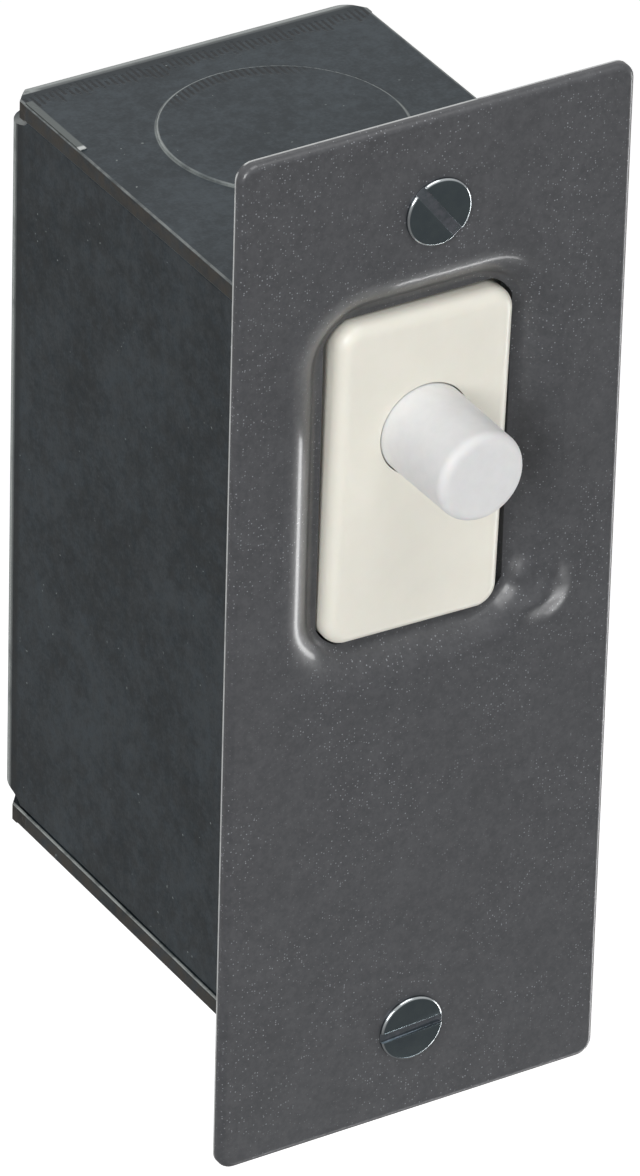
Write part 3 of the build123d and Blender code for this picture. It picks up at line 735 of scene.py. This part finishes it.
area_lamp("left_soft_box", (-0.75, -0.55, 0.45), 0.45, 6.3)
area_lamp("top_soft_box", (0.1, -0.35, 0.95), 0.6, 3.8)
area_lamp("right_strip", (0.50, -0.13, -0.30), 0.10, 1.6, height=0.5)
area_lamp("low_strip", (0.16, -0.08, -0.28), 0.20, 0.09, height=0.015)

# Mirrors see a room that is pale above and grey below.
AMBIENT_LIGHT = 0.35
world = bpy.data.worlds.new("studio")
bpy.context.scene.world = world
world.use_nodes = True
world.node_tree.nodes.clear()
path = put(world, "ShaderNodeLightPath", {}).outputs
position = put(world, "ShaderNodeTexCoord", {}).outputs["Generated"]
direction = put(world, "ShaderNodeSeparateXYZ", {"Vector": position}).outputs
room = where(world, (direction["Z"], -0.5, 0.55, 0.28, 0.78))
ambient = put(
    world,
    "ShaderNodeMix",
    {"Factor": path["Is Glossy Ray"], "A": AMBIENT_LIGHT, "B": room},
    data_type="FLOAT",
)
seen = put(
    world,
    "ShaderNodeMath",
    {0: path["Is Camera Ray"], 1: path["Is Transmission Ray"]},
    operation="MAXIMUM",
)
strength = put(
    world, "ShaderNodeMix", {"Factor": seen, "A": ambient, "B": 1.0}, data_type="FLOAT"
)
background = put(
    world, "ShaderNodeBackground", {"Color": (1.0, 1.0, 1.0, 1.0), "Strength": strength}
)
put(world, "ShaderNodeOutputWorld", {"Surface": background})

# Pale floor well below the part, which hangs by its jamb face.
FLOOR_DROP = 0.30
FLOOR_SIZE = 6.0


def pale_floor_paint():
    """Matt white floor paint: white to the eye, and clear in mirrors, which show the room instead."""
    material, _ = new_material("pale_floor_paint")
    rays = put(material, "ShaderNodeLightPath", {}).outputs
    seen = put(
        material,
        "ShaderNodeMath",
        {0: rays["Is Camera Ray"], 1: rays["Is Transmission Ray"]},
        operation="MAXIMUM",
    )
    glow = put(material, "ShaderNodeMath", {0: seen, 1: 0.55}, operation="MULTIPLY")
    matt = put(
        material,
        "ShaderNodeBsdfPrincipled",
        {
            "Base Color": colour("#F4F4F4"),
            "Roughness": 0.9,
            "Emission Color": (1.0, 1.0, 1.0, 1.0),
            "Emission Strength": glow,
        },
    )
    clear = put(material, "ShaderNodeBsdfTransparent", {})
    shown = put(material, "ShaderNodeMixShader", {0: rays["Is Glossy Ray"], 1: matt, 2: clear})
    put(material, "ShaderNodeOutputMaterial", {"Surface": shown})
    return material


floor_mesh = bpy.data.meshes.new("floor")
sheet = bmesh.new()
bmesh.ops.create_grid(sheet, x_segments=1, y_segments=1, size=FLOOR_SIZE / 2)
sheet.to_mesh(floor_mesh)
sheet.free()
floor = bpy.data.objects.new("floor", floor_mesh)
floor.location = (0, 0, plate_low.z - FLOOR_DROP)
floor_mesh.materials.append(pale_floor_paint())
bpy.context.scene.collection.objects.link(floor)


# ================================================================ camera
# Seen from the left, in front and above, with the plate upright and nearly no perspective.
VIEW_AZIMUTH = math.radians(-31.9)
VIEW_ELEVATION = math.radians(31.83)
VIEW_ROLL = math.radians(1.61)
VIEW_DISTANCE = 926.7 * MM
LOOK_LEFT = 9.0 * MM
LOOK_UP = -3.5 * MM
LENS_MM = 327.5

back = Vector(
    (
        math.sin(VIEW_AZIMUTH) * math.cos(VIEW_ELEVATION),
        -math.cos(VIEW_AZIMUTH) * math.cos(VIEW_ELEVATION),
        math.sin(VIEW_ELEVATION),
    )
)
level_right = Vector((math.cos(VIEW_AZIMUTH), math.sin(VIEW_AZIMUTH), 0))
level_up = back.cross(level_right)
right = level_right * math.cos(VIEW_ROLL) + level_up * math.sin(VIEW_ROLL)
up = level_up * math.cos(VIEW_ROLL) - level_right * math.sin(VIEW_ROLL)
plate_face = Vector((0, plate_low.y, (plate_low.z + plate_high.z) / 2))
camera_data = bpy.data.cameras.new("camera")
camera_data.lens = LENS_MM
camera_data.clip_start = 0.05
camera = bpy.data.objects.new("camera", camera_data)
stand = plate_face + back * VIEW_DISTANCE - right * LOOK_LEFT - up * LOOK_UP
camera.matrix_world = Matrix.Translation(stand) @ Matrix((right, up, back)).transposed().to_4x4()
bpy.context.scene.collection.objects.link(camera)
bpy.context.scene.camera = camera
bpy.context.scene.view_settings.view_transform = "Standard"
